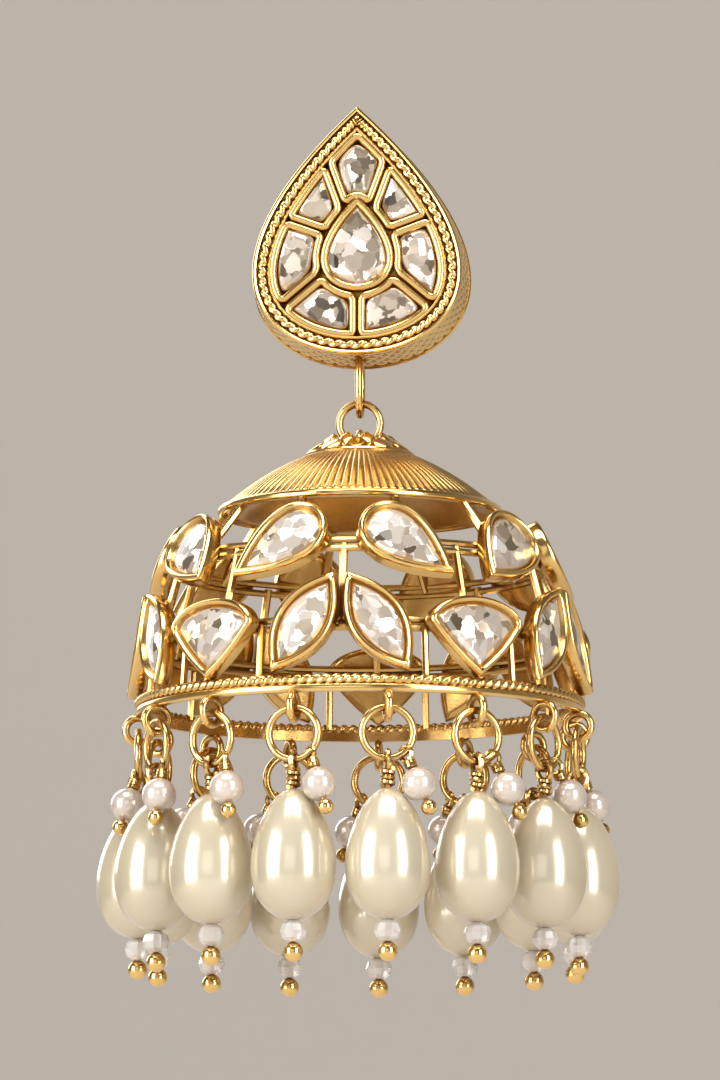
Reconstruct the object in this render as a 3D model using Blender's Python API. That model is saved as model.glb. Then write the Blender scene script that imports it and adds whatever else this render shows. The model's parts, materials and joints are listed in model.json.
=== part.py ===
# A bell drop earring (jhumka) with flat stones in closed settings and pearl drops.
# Units are metres, +Z is up and the stud faces -Y. The origin is the point where the
# ear post leaves the back of the stud.

import bpy
import bmesh
from math import asin, atan2, cos, pi, radians, sin, sqrt, tan
from mathutils import Matrix, Vector

MM = 0.001

# Wire, walls and the air left between pieces
WIRE_R = 0.30 * MM
SEAT_GAP = 0.30 * MM
STONE_GAP = 0.25 * MM
LINK_SLACK = 0.10 * MM
SOLDER_DEPTH = 0.20 * MM
BEZEL_WALL = 0.55 * MM
SETTING_DEPTH = 1.50 * MM
POCKET_DEPTH = 1.00 * MM
STONE_RISE = 0.25 * MM
STONE_TABLE = 0.6

# Stud
STUD_LENGTH = 19.5 * MM
STUD_WIDTH = 16.3 * MM
STUD_DEPTH = 5.5 * MM
STUD_FLARE = 0.4 * MM
STUD_BELOW_POST = 8.0 * MM
STUD_RIM = 1.5 * MM
CELL_WALL = 0.6 * MM
CENTRE_STONE_LENGTH = 6.0 * MM
CENTRE_STONE_WIDTH = 4.8 * MM
CENTRE_STONE_ABOVE_POST = 0.7 * MM
POST_R = 0.45 * MM
POST_LENGTH = 11.0 * MM
POST_FOOT_R = 1.6 * MM
POST_FOOT_DEPTH = 0.6 * MM

# Link between stud and bell
HANG_DEPTH = 2.6 * MM
STUD_LOOP_DROP = 4.4 * MM
STUD_LOOP_WIDTH = 2.6 * MM
LINK_RING_R = 1.6 * MM

# Bell, measured up from the plane of its rim
BELL_RIM_R = 17.5 * MM
BELL_LIP_R = 10.7 * MM
BELL_HEIGHT = 15.7 * MM
CONE_HEIGHT = 4.5 * MM
CONE_TOP_R = 4.1 * MM
CAP_WALL = 0.9 * MM
COLLAR_R = 3.5 * MM
COLLAR_HEIGHT = 1.2 * MM
COLLAR_WALL = 0.7 * MM
RIM_BAND_HEIGHT = 1.4 * MM
RIM_BAND_WALL = 0.7 * MM
HOOP_WALL = 0.7 * MM
HOOP_HEIGHT = 0.9 * MM
HOOP_INSET = 1.3 * MM
HOOP_CLEARANCE = 0.05 * MM
REPEATS = 5
DROPS_PER_REPEAT = 3

# Drops
JUMP_RING_R = 1.95 * MM
PEARL_LENGTH = 10.0 * MM
PEARL_GAP = 0.7 * MM
PIN_R = 0.25 * MM
PIN_NECK = 2.2 * MM
SEED_BEAD_R = 1.05 * MM
SEED_BEAD_HEIGHT = 1.6 * MM
GOLD_BALL_R = 0.75 * MM
SIDE_PEARL_R = 1.4 * MM
SIDE_BALL_R = 0.6 * MM
SIDE_DROP_LENGTH = 5.4 * MM

# Segment counts
OUTLINE_POINTS = 12
STUD_POINTS = 28
CAP_SEGMENTS = 40
HOOP_SEGMENTS = 30
RIM_SEGMENTS = 45
LINK_SEGMENTS = 12
SMALL_RING_SEGMENTS = 10
WIRE_SIDES = 5
DROP_SEGMENTS = 8

# Sizes that follow from the ones above
STUD_BOTTOM_Z = -STUD_BELOW_POST
LOOP_BOTTOM_Z = STUD_BOTTOM_Z - STUD_LOOP_DROP
LINK_TOP_Z = LOOP_BOTTOM_Z + 2 * WIRE_R + SEAT_GAP
LINK_BOTTOM_Z = LINK_TOP_Z - 2 * LINK_RING_R
EYE_R = 2 * WIRE_R + SEAT_GAP
BELL_TOP_Z = LINK_BOTTOM_Z - EYE_R
RIM_Z = BELL_TOP_Z - CONE_HEIGHT - BELL_HEIGHT
EYELET_R = 2 * WIRE_R + SEAT_GAP + LINK_SLACK
RIM_BOTTOM_Z = RIM_Z - WIRE_R
EYELET_Z = RIM_BOTTOM_Z + SOLDER_DEPTH - WIRE_R - EYELET_R
EYELET_CIRCLE_R = BELL_RIM_R - RIM_BAND_WALL / 2
JUMP_RING_TOP_Z = EYELET_Z - EYELET_R + 2 * WIRE_R + SEAT_GAP
DROP_COUNT = REPEATS * DROPS_PER_REPEAT
DROP_PITCH = 2 * pi * EYELET_CIRCLE_R / DROP_COUNT
PEARL_R = (DROP_PITCH - PEARL_GAP) / 2
REPEAT_ANGLE = 2 * pi / REPEATS

# The settings fill the band, so they grow only when it grows both up and around
SETTING_UNIT = min(BELL_HEIGHT, 2 * pi * BELL_RIM_R / 7)

# Half the height that a setting covers on the wall, as a share of SETTING_UNIT
SETTING_REACH = 0.18

# Azimuths within one repeat, in degrees from its middle
UPPER_AZIMUTH = 19.2
LEAF_AZIMUTH = 9.6
FAN_AZIMUTH = 36.0

# One repeat of the band: name, outline, length share and width share of SETTING_UNIT,
# azimuth in degrees, height share of BELL_HEIGHT, turn in degrees from tip up
SETTINGS = (
    ("upper", "pear", 0.535, 0.344, -UPPER_AZIMUTH, 0.72, 130.0),
    ("upper", "pear", 0.535, 0.344, UPPER_AZIMUTH, 0.72, -130.0),
    ("lower", "leaf", 0.573, 0.287, -LEAF_AZIMUTH, 0.32, -31.5),
    ("lower", "leaf", 0.573, 0.287, LEAF_AZIMUTH, 0.32, 31.5),
    ("fan", "fan", 0.400, 0.520, FAN_AZIMUTH, 0.265, 0.0),
)

# Hoops behind the settings: height share of BELL_HEIGHT
UPPER_HOOP = 0.72
LOWER_HOOP = 0.32

# Ribs between the stud's outer stones, in degrees from +X, and the name of the stone
# that lies anticlockwise of each
STUD_RIBS = (
    (20.0, "upper_right"),
    (70.0, "top"),
    (110.0, "upper_left"),
    (160.0, "mid_left"),
    (220.0, "low_left"),
    (270.0, "low_right"),
    (320.0, "mid_right"),
)

GOLD = ("gold_plated_brass", (0.83, 0.58, 0.22), 0.25, 1.0)
STONE = ("clear_stone", (0.92, 0.90, 0.88), 0.05, 0.0)
PEARL = ("pearl", (0.93, 0.89, 0.78), 0.22, 0.0)


def clear_scene():
    for obj in list(bpy.data.objects):
        bpy.data.objects.remove(obj, do_unlink=True)


def material(name, color, roughness, metallic):
    mat = bpy.data.materials.new(name)
    mat.use_nodes = True
    shader = mat.node_tree.nodes["Principled BSDF"]
    shader.inputs["Base Color"].default_value = (*color, 1.0)
    shader.inputs["Roughness"].default_value = roughness
    shader.inputs["Metallic"].default_value = metallic
    return mat


# Outlines are lists of (u, v), anticlockwise, with u to the right and v up

def pear_outline(length, width, count, fullness=1.0):
    def half_width(t):
        return sin(t) * sin(t / 2) ** fullness
    widest = max(half_width(pi * k / 200) for k in range(1, 200))
    points = []
    for k in range(count):
        t = 2 * pi * k / count
        side = half_width(t) if t <= pi else -half_width(2 * pi - t)
        points.append((-width / 2 * side / widest, length / 2 * cos(t)))
    return points


def leaf_outline(length, width, count):
    half = count // 2
    points = []
    for side in (-1, 1):
        for k in range(half):
            along = 1 - 2 * k / half
            bulge = 1 - along ** 2
            points.append((side * width / 2 * bulge, -side * length / 2 * along))
    return points


def fan_outline(length, width, count):
    corner_v = length * 0.15
    side_bulge = width * 0.04
    arc = count // 2
    points = []
    for k in range(arc + 1):
        a = pi * k / arc
        points.append((width / 2 * cos(a), corner_v + (length / 2 - corner_v) * sin(a)))
    middle_v = (corner_v - length / 2) / 2
    points.append((-width / 4 - side_bulge, middle_v - side_bulge))
    points.append((0.0, -length / 2))
    points.append((width / 4 + side_bulge, middle_v - side_bulge))
    return points


OUTLINES = {"pear": pear_outline, "leaf": leaf_outline, "fan": fan_outline}


def middle_of(points):
    return sum((Vector(point) for point in points), Vector((0, 0))) / len(points)


def inset(points, distance):
    """Moves every side of an anticlockwise outline inwards by the same distance. Each new
    point lies where the line from the middle to the old point meets the nearest side."""
    middle = middle_of(points)
    sides = []
    for k, point in enumerate(points):
        start = Vector(points[k - 1])
        way = (Vector(point) - start).normalized()
        normal = Vector((way.y, -way.x))
        sides.append((normal, normal.dot(start - middle) - distance))
    moved_points = []
    for point in points:
        way = (Vector(point) - middle).normalized()
        facing = [(gap, normal.dot(way)) for normal, gap in sides if normal.dot(way) > 0.05]
        moved_points.append(tuple(middle + way * min(gap / share for gap, share in facing)))
    return moved_points


def reach(points, centre, angle):
    """Distance from a centre to an outline along an angle."""
    way = Vector((cos(angle), sin(angle)))
    best = 0.0
    for k, point in enumerate(points):
        a = Vector(points[k - 1]) - centre
        side = Vector(point) - Vector(points[k - 1])
        across = way.x * side.y - way.y * side.x
        if abs(across) < 1e-12:
            continue
        along_way = (a.x * side.y - a.y * side.x) / across
        along_side = (a.x * way.y - a.y * way.x) / across
        if along_way > 0 and -1e-9 <= along_side <= 1 + 1e-9:
            best = max(best, along_way)
    return best


# Closed shapes, each returned as a bmesh

def finish(bm):
    bmesh.ops.recalc_face_normals(bm, faces=bm.faces)
    return bm


def stack(levels):
    """Joins outlines of equal count, each with its own depth, into one closed shape."""
    bm = bmesh.new()
    rings = [[bm.verts.new((u, v, w)) for u, v in points] for points, w in levels]
    for low, high in zip(rings, rings[1:]):
        for k in range(len(low)):
            n = (k + 1) % len(low)
            bm.faces.new((low[k], low[n], high[n], high[k]))
    bm.faces.new(list(reversed(rings[0])))
    bm.faces.new(rings[-1])
    return finish(bm)


def lathe(profile, segments):
    """Turns a profile of (radius, height) that starts and ends on the axis."""
    bm = bmesh.new()
    rings = []
    for radius, height in profile:
        if radius == 0:
            rings.append([bm.verts.new((0, 0, height))])
            continue
        angles = [2 * pi * k / segments for k in range(segments)]
        rings.append([bm.verts.new((radius * cos(a), radius * sin(a), height)) for a in angles])
    for one, two in zip(rings, rings[1:]):
        for k in range(segments):
            n = (k + 1) % segments
            corners = [one[k % len(one)], one[n % len(one)], two[n % len(two)], two[k % len(two)]]
            bm.faces.new(list(dict.fromkeys(corners)))
    return finish(bm)


def hoop(radius, height, wall, tall, segments):
    """A flat-sided band: outer radius, height of its middle, wall and height."""
    bm = bmesh.new()
    section = ((radius, -tall / 2), (radius, tall / 2), (radius - wall, tall / 2), (radius - wall, -tall / 2))
    rings = []
    for k in range(segments):
        a = 2 * pi * k / segments
        rings.append([bm.verts.new((r * cos(a), r * sin(a), height + z)) for r, z in section])
    join_around(bm, rings)
    return finish(bm)


def wire_loop(half_u, half_v, wire, segments, sides):
    """A loop of round wire in the local XY plane."""
    bm = bmesh.new()
    rings = []
    for k in range(segments):
        a = 2 * pi * k / segments
        centre = Vector((half_u * cos(a), half_v * sin(a), 0))
        out = Vector((half_v * cos(a), half_u * sin(a), 0)).normalized()
        ring = []
        for s in range(sides):
            b = 2 * pi * (s + 0.5) / sides
            ring.append(bm.verts.new(centre + out * wire * cos(b) + Vector((0, 0, wire * sin(b)))))
        rings.append(ring)
    join_around(bm, rings)
    return finish(bm)


def join_around(bm, rings):
    for k, ring in enumerate(rings):
        after = rings[(k + 1) % len(rings)]
        for s in range(len(ring)):
            n = (s + 1) % len(ring)
            bm.faces.new((ring[s], ring[n], after[n], after[s]))


def post(start, end, half):
    """A square bar between two points."""
    way = (end - start).normalized()
    turn = way.to_track_quat("Z", "Y").to_matrix().to_4x4()
    bm = bmesh.new()
    bmesh.ops.create_cube(bm, size=1.0)
    bm.transform(Matrix.Diagonal((2 * half, 2 * half, (end - start).length, 1)))
    bm.transform(Matrix.Translation((start + end) / 2) @ turn)
    return finish(bm)


def moved(bm, matrix):
    bm.transform(matrix)
    return bm


# Objects

def new_mesh(name, bm):
    mesh = bpy.data.meshes.new(name)
    bm.to_mesh(mesh)
    bm.free()
    return mesh


def combined(name, base, others, operation):
    """Unites a shape with others, or cuts the others from it, and returns one mesh."""
    base_obj = bpy.data.objects.new(name, new_mesh(name, base))
    bpy.context.scene.collection.objects.link(base_obj)
    tools = bpy.data.collections.new(name + "_tools")
    bpy.context.scene.collection.children.link(tools)
    for bm in others:
        tool = bpy.data.objects.new(name + "_tool", new_mesh(name + "_tool", bm))
        tool.hide_render = True
        tool.display_type = "WIRE"
        tools.objects.link(tool)
    boolean = base_obj.modifiers.new("join", "BOOLEAN")
    boolean.operation = operation
    boolean.operand_type = "COLLECTION"
    boolean.collection = tools
    bpy.context.view_layer.update()
    depsgraph = bpy.context.evaluated_depsgraph_get()
    mesh = bpy.data.meshes.new_from_object(base_obj.evaluated_get(depsgraph))
    for obj in list(tools.objects) + [base_obj]:
        bpy.data.objects.remove(obj, do_unlink=True)
    bpy.data.collections.remove(tools)
    return mesh


def add(name, mesh, mat, parent, matrix=Matrix.Identity(4), smooth=True):
    """Adds an object whose matrix is given in the earring's frame, under a parent."""
    obj = bpy.data.objects.new(name, mesh)
    bpy.context.scene.collection.objects.link(obj)
    if not mesh.materials:
        mesh.materials.append(mat)
    if smooth:
        mesh.shade_smooth()
        mesh.set_sharp_from_angle(angle=radians(35))
    obj.parent = parent
    obj.matrix_local = Matrix.Translation(-origin_of(parent)) @ matrix
    return obj


def pivot(name, place, parent=None):
    empty = bpy.data.objects.new(name, None)
    empty.empty_display_size = 2 * MM
    bpy.context.scene.collection.objects.link(empty)
    empty.parent = parent
    empty.location = place - origin_of(parent)
    return empty


def origin_of(obj):
    """World origin of an empty that is only moved, never turned."""
    place = Vector((0, 0, 0))
    while obj:
        place += obj.location
        obj = obj.parent
    return place


# Frames

AXIS = Vector((0, -HANG_DEPTH, 0))
FRONT = Matrix(((1, 0, 0, 0), (0, 0, -1, 0), (0, 1, 0, 0), (0, 0, 0, 1)))
SIDEWAYS = Matrix(((0, 0, 1, 0), (1, 0, 0, 0), (0, 1, 0, 0), (0, 0, 0, 1)))


def around(azimuth):
    """Turns the front of the bell to an azimuth, counted from -Y towards +X."""
    return Matrix.Translation(AXIS) @ Matrix.Rotation(azimuth, 4, "Z")


def bell_radius(height):
    share = min(height / BELL_HEIGHT, 1.0)
    return BELL_LIP_R + (BELL_RIM_R - BELL_LIP_R) * sqrt(1 - share ** 2)


def on_bell(azimuth, height, turn):
    """Frame of a flat setting laid across the curved wall: x to the right, y up the wall
    and z out of the bell. Its middle lies on the chord between its two edges."""
    half = SETTING_UNIT * SETTING_REACH
    low_r = bell_radius(height - half)
    high_r = bell_radius(height + half)
    out = Matrix.Translation((0, -(low_r + high_r) / 2, RIM_Z + height))
    lean = Matrix.Rotation(-atan2(low_r - high_r, 2 * half), 4, "X")
    return around(azimuth) @ out @ lean @ FRONT @ Matrix.Rotation(turn, 4, "Z")


def hoop_radius(share):
    """Middle of a hoop's wall. It lies HOOP_INSET behind the bell's wall, or further in
    where the backs of the leaning stones reach that far."""
    height = share * BELL_HEIGHT
    half = SETTING_UNIT * SETTING_REACH
    low_r = bell_radius(height - half)
    high_r = bell_radius(height + half)
    lean = atan2(low_r - high_r, 2 * half)
    stone_back = (POCKET_DEPTH / 2 - STONE_GAP) / cos(lean) + HOOP_HEIGHT / 2 * tan(lean)
    behind_stones = (low_r + high_r) / 2 - stone_back - HOOP_CLEARANCE - HOOP_WALL / 2
    return min(bell_radius(height) - HOOP_INSET, behind_stones)


def every_setting():
    """Yields name, outline and frame of each setting on the bell."""
    counts = {}
    for repeat in range(REPEATS):
        for row, kind, length, width, azimuth, height, turn in SETTINGS:
            counts[row] = counts.get(row, 0) + 1
            outline = OUTLINES[kind](length * SETTING_UNIT, width * SETTING_UNIT, OUTLINE_POINTS)
            frame = on_bell(radians(azimuth) + repeat * REPEAT_ANGLE, height * BELL_HEIGHT, radians(turn))
            yield row, counts[row], outline, frame


# Settings and stones

def cup(outline):
    inner = inset(outline, BEZEL_WALL)
    top = SETTING_DEPTH - POCKET_DEPTH
    levels = [(outline, -top - POCKET_DEPTH / 2), (outline, POCKET_DEPTH / 2),
              (inner, POCKET_DEPTH / 2), (inner, -POCKET_DEPTH / 2)]
    return stack(levels)


def flat_stone(pocket):
    """A flat cut stone that stands in a pocket whose mouth is at local z = 0."""
    girdle = inset(pocket, STONE_GAP)
    middle = middle_of(girdle)
    table = [tuple(middle + (Vector(point) - middle) * STONE_TABLE) for point in girdle]
    levels = [(girdle, STONE_GAP - POCKET_DEPTH), (girdle, -STONE_GAP), (table, STONE_RISE)]
    return stack(levels)


def make_stud(gold, stone):
    drop = STUD_LENGTH / 2 - STUD_BELOW_POST
    centre = Vector((0, CENTRE_STONE_ABOVE_POST))
    front = raised(pear_outline(STUD_LENGTH, STUD_WIDTH, STUD_POINTS), drop)
    back = inset(front, -STUD_FLARE)
    body = stack([(back, 0), (inset(front, -STUD_FLARE / 3), STUD_DEPTH * 0.8), (front, STUD_DEPTH)])
    pockets = {"centre": raised(
        pear_outline(CENTRE_STONE_LENGTH + 2 * STONE_GAP, CENTRE_STONE_WIDTH + 2 * STONE_GAP,
                     OUTLINE_POINTS), CENTRE_STONE_ABOVE_POST)}
    field = inset(front, STUD_RIM)
    for k, (start, name) in enumerate(STUD_RIBS):
        end = STUD_RIBS[(k + 1) % len(STUD_RIBS)][0]
        end = end + 360 if end < start else end
        pockets[name] = stud_cell(pockets["centre"], field, centre, radians(start), radians(end))
    cutters = []
    for outline in pockets.values():
        cutters.append(moved(stack([(outline, STUD_DEPTH - POCKET_DEPTH), (outline, 2 * STUD_DEPTH)]), FRONT))
    loop = wire_loop(STUD_LOOP_WIDTH / 2, (STUD_BOTTOM_Z - LOOP_BOTTOM_Z) / 2 + WIRE_R / 2, WIRE_R,
                     LINK_SEGMENTS, WIRE_SIDES + 1)
    loop_middle = (STUD_BOTTOM_Z + LOOP_BOTTOM_Z) / 2 + WIRE_R / 2
    moved(loop, Matrix.Translation((0, -HANG_DEPTH, loop_middle)) @ SIDEWAYS)
    cut = combined("stud_cut", moved(body, FRONT), cutters, "DIFFERENCE")
    solid = bmesh.new()
    solid.from_mesh(cut)
    add("stud_setting", combined("stud_setting", solid, [loop], "UNION"), gold, None)
    seat = FRONT @ Matrix.Translation((0, 0, STUD_DEPTH))
    for name, outline in pockets.items():
        mesh = new_mesh("stud_stone_" + name, moved(flat_stone(outline), seat))
        add("stud_stone_" + name, mesh, stone, None, smooth=False)


def raised(points, height):
    return [(u, v + height) for u, v in points]


def stud_cell(inner, outer, centre, start, end):
    """Pocket between the centre stone's wall and the rim, from one rib to the next."""
    points = []
    for edge, extra, steps, turn in ((outer, 0.0, 4, 1), (inner, CELL_WALL, 3, -1)):
        middle_r = reach(edge, centre, (start + end) / 2) + extra
        clear = asin(CELL_WALL / 2 / middle_r)
        for k in range(steps):
            share = k / (steps - 1)
            share = share if turn > 0 else 1 - share
            angle = start + clear + (end - start - 2 * clear) * share
            r = reach(edge, centre, angle) + extra
            points.append((centre.x + r * cos(angle), centre.y + r * sin(angle)))
    return points


def make_post(gold):
    profile = [(0, SEAT_GAP), (POST_FOOT_R, SEAT_GAP), (POST_FOOT_R, SEAT_GAP + POST_FOOT_DEPTH),
               (POST_R, SEAT_GAP + POST_FOOT_DEPTH), (POST_R, POST_LENGTH - POST_R),
               (POST_R / 2, POST_LENGTH), (0, POST_LENGTH)]
    backwards = Matrix.Rotation(-pi / 2, 4, "X")
    add("ear_post", new_mesh("ear_post", moved(lathe(profile, LINK_SEGMENTS), backwards)), gold, None)


def make_link(gold, parent):
    ring = wire_loop(LINK_RING_R, LINK_RING_R, WIRE_R, LINK_SEGMENTS, WIRE_SIDES + 1)
    place = Matrix.Translation((0, -HANG_DEPTH, (LINK_TOP_Z + LINK_BOTTOM_Z) / 2))
    add("link_ring", new_mesh("link_ring", moved(ring, place @ FRONT)), gold, parent)


def cap_profile():
    top = BELL_HEIGHT + CONE_HEIGHT
    collar_top = top + COLLAR_HEIGHT
    dish_r = COLLAR_R - 1.6 * COLLAR_WALL
    lip = BELL_LIP_R + WIRE_R
    return [(0, top), (dish_r, top), (dish_r, collar_top), (dish_r + COLLAR_WALL, collar_top),
            (COLLAR_R, top + COLLAR_HEIGHT / 3), (CONE_TOP_R, top), (BELL_LIP_R, BELL_HEIGHT + WIRE_R),
            (lip, BELL_HEIGHT), (lip, BELL_HEIGHT - WIRE_R), (BELL_LIP_R - CAP_WALL, BELL_HEIGHT - WIRE_R),
            (CONE_TOP_R - CAP_WALL, top - CAP_WALL), (0, top - CAP_WALL)]


def make_bell(gold, parent):
    to_bell = Matrix.Translation(AXIS + Vector((0, 0, RIM_Z)))
    parts = []
    parts.append(hoop(BELL_RIM_R, RIM_BAND_HEIGHT / 2 - WIRE_R, RIM_BAND_WALL, RIM_BAND_HEIGHT, RIM_SEGMENTS))
    for share in (UPPER_HOOP, LOWER_HOOP):
        radius = hoop_radius(share) + HOOP_WALL / 2
        parts.append(hoop(radius, share * BELL_HEIGHT, HOOP_WALL, HOOP_HEIGHT, HOOP_SEGMENTS))
    for bm in parts:
        moved(bm, to_bell)
    for repeat in range(REPEATS):
        for degrees in (-UPPER_AZIMUTH, UPPER_AZIMUTH):
            angle = radians(degrees) + repeat * REPEAT_ANGLE
            parts.append(moved(upright(BELL_LIP_R - CAP_WALL / 2, BELL_HEIGHT, UPPER_HOOP), around(angle)))
        for degrees in (0.0, FAN_AZIMUTH):
            angle = radians(degrees) + repeat * REPEAT_ANGLE
            upper = upright(hoop_radius(UPPER_HOOP), UPPER_HOOP * BELL_HEIGHT, LOWER_HOOP)
            parts.append(moved(upper, around(angle)))
    for row, number, outline, frame in every_setting():
        parts.append(moved(cup(outline), frame))
    for k in range(DROP_COUNT):
        eyelet = wire_loop(EYELET_R, EYELET_R, WIRE_R, SMALL_RING_SEGMENTS, WIRE_SIDES)
        place = Matrix.Translation((0, -EYELET_CIRCLE_R, EYELET_Z)) @ SIDEWAYS
        parts.append(moved(eyelet, around(drop_azimuth(k)) @ place))
    eye = wire_loop(EYE_R, EYE_R, WIRE_R, SMALL_RING_SEGMENTS, WIRE_SIDES)
    parts.append(moved(eye, Matrix.Translation(AXIS + Vector((0, 0, LINK_BOTTOM_Z))) @ SIDEWAYS))
    cap = moved(lathe(cap_profile(), CAP_SEGMENTS), to_bell)
    add("bell", combined("bell", cap, parts, "UNION"), gold, parent)


def upright(top_r, top_height, low_share):
    """A bar behind the settings, from a point under the cone or a hoop to a lower hoop."""
    start = Vector((0, -top_r, RIM_Z + top_height))
    end = Vector((0, -hoop_radius(low_share), RIM_Z + low_share * BELL_HEIGHT))
    return post(start, end, HOOP_WALL / 2)


def drop_azimuth(k):
    """The drops hang evenly, with one under each fan stone."""
    return 2 * pi * (k + 0.5) / DROP_COUNT


def make_bell_stones(stone, parent):
    for row, number, outline, frame in every_setting():
        mouth = Matrix.Translation((0, 0, POCKET_DEPTH / 2))
        name = f"bell_stone_{row}_{number:02d}"
        mesh = new_mesh(name, moved(flat_stone(inset(outline, BEZEL_WALL)), mouth))
        add(name, mesh, stone, parent, frame, smooth=False)


def pearl_profile(top, length, radius, steps, fullness=0.4):
    """Half outline of a drop pearl, from the top down, without its two end points."""
    outline = pear_outline(length, 2 * radius, 2 * steps, fullness)
    return [(-u, v + top - length / 2) for u, v in outline[1:steps]]


def drop_shape():
    """One pearl drop on its jump ring, with the ring's top wire at the local origin."""
    pin_top = -2 * JUMP_RING_R
    pearl_top = pin_top - PIN_NECK
    pearl_bottom = pearl_top - PEARL_LENGTH
    bead_bottom = pearl_bottom - SEED_BEAD_HEIGHT
    ball_bottom = bead_bottom - 2 * GOLD_BALL_R
    profile = [(0, pin_top), (PIN_R, pin_top), (PIN_R, pearl_top)]
    profile += pearl_profile(pearl_top, PEARL_LENGTH, PEARL_R, 8)
    profile += [(PIN_R, pearl_bottom), (SEED_BEAD_R, pearl_bottom - SEED_BEAD_HEIGHT * 0.3),
                (SEED_BEAD_R, pearl_bottom - SEED_BEAD_HEIGHT * 0.7), (PIN_R, bead_bottom),
                (GOLD_BALL_R, bead_bottom - GOLD_BALL_R), (0, ball_bottom)]
    ring = moved(wire_loop(JUMP_RING_R, JUMP_RING_R, WIRE_R, SMALL_RING_SEGMENTS, WIRE_SIDES),
                 Matrix.Translation((0, 0, -JUMP_RING_R)) @ FRONT)
    return combined("pearl_drop", lathe(profile, DROP_SEGMENTS), [ring, side_drop()], "UNION")


def side_drop():
    """The small pearl that hangs from the same jump ring, out between two big pearls."""
    length = SIDE_DROP_LENGTH
    bead_middle = -length * 0.52
    ball_top = -length + 2 * SIDE_BALL_R
    profile = [(0, 0), (PIN_R, 0), (PIN_R, bead_middle + SIDE_PEARL_R)]
    for k in range(1, 4):
        a = pi * k / 4
        profile.append((SIDE_PEARL_R * sin(a), bead_middle + SIDE_PEARL_R * cos(a)))
    profile += [(PIN_R, bead_middle - SIDE_PEARL_R), (PIN_R, ball_top),
                (SIDE_BALL_R, ball_top - SIDE_BALL_R), (0, -length)]
    start_angle = radians(-48)
    start = Vector((JUMP_RING_R * cos(start_angle), 0, JUMP_RING_R * (sin(start_angle) - 1)))
    end = Vector((DROP_PITCH * 0.47, -1.7 * MM, start.z - length))
    way = (start - end).normalized()
    turn = way.to_track_quat("Z", "Y").to_matrix().to_4x4()
    return moved(lathe(profile, DROP_SEGMENTS - 2), Matrix.Translation(start) @ turn)


def make_drops(pearl, parent):
    mesh = drop_shape()
    for k in range(DROP_COUNT):
        place = around(drop_azimuth(k)) @ Matrix.Translation((0, -EYELET_CIRCLE_R, JUMP_RING_TOP_Z))
        add(f"pearl_drop_{k + 1:02d}", mesh, pearl, parent, place)


def build():
    clear_scene()
    gold = material(*GOLD)
    stone = material(*STONE)
    pearl = material(*PEARL)
    side_pivot = pivot("side_swing_axis", AXIS + Vector((0, 0, LOOP_BOTTOM_Z)))
    fore_pivot = pivot("fore_swing_axis", AXIS + Vector((0, 0, LINK_BOTTOM_Z)), side_pivot)
    make_stud(gold, stone)
    make_post(gold)
    make_link(gold, side_pivot)
    make_bell(gold, fore_pivot)
    make_bell_stones(stone, fore_pivot)
    make_drops(pearl, fore_pivot)


build()
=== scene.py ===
# %% Load the fixed frame
import json
import random
from math import atan2, cos, pi, radians, sin, sqrt

import bmesh
import bpy
from mathutils import Matrix, Vector


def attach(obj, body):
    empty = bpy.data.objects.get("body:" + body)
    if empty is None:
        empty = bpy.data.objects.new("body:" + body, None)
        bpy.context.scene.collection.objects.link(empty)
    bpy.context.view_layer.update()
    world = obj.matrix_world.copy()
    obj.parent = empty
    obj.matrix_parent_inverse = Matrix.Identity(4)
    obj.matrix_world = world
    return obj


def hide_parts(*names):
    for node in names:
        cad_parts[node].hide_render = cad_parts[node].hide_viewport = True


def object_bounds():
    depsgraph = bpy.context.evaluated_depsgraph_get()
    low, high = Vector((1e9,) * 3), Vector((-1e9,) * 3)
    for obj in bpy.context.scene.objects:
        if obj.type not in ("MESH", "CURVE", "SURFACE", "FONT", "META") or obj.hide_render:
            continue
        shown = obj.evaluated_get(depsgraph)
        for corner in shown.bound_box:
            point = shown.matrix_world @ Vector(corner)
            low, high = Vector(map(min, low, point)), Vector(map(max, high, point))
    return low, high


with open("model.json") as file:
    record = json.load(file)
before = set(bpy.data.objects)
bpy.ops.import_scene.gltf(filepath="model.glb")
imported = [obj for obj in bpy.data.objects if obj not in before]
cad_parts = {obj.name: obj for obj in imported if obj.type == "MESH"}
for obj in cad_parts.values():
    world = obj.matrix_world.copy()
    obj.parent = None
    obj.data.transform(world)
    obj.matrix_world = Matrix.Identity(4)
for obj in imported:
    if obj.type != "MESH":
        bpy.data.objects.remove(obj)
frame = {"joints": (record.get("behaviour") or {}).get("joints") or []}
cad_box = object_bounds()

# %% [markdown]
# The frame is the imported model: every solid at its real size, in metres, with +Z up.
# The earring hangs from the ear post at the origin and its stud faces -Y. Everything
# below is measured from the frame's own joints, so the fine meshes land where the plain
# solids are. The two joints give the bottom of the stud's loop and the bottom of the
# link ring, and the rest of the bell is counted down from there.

MM = 0.001
joint_places = {joint["name"]: joint["pos_m"] for joint in frame["joints"]}
HANG_Y = joint_places["side_swing"][1]
LOOP_BOTTOM_Z = joint_places["side_swing"][2]
LINK_BOTTOM_Z = joint_places["fore_swing"][2]

WIRE_R = 0.30 * MM
SEAT_GAP = 0.30 * MM
BELL_RIM_R = 17.5 * MM
BELL_LIP_R = 10.7 * MM
BELL_HEIGHT = 15.7 * MM
CONE_HEIGHT = 4.5 * MM
EYE_R = 0.9 * MM
RIM_Z = LINK_BOTTOM_Z - EYE_R - CONE_HEIGHT - BELL_HEIGHT
REPEATS = 5
DROP_COUNT = 15
print("rim plane at", round(RIM_Z / MM, 2), "mm, bell", round(BELL_HEIGHT / MM, 1), "mm tall")

# %% [markdown]
# A drop earring is looked at from just below and a little to one side. The camera is
# placed by angles round the middle of the earring, on a long lens, so that the rings of
# the bell stay nearly flat ellipses. The lens is worked out from the height of the
# picture that the earring should fill.

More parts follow.
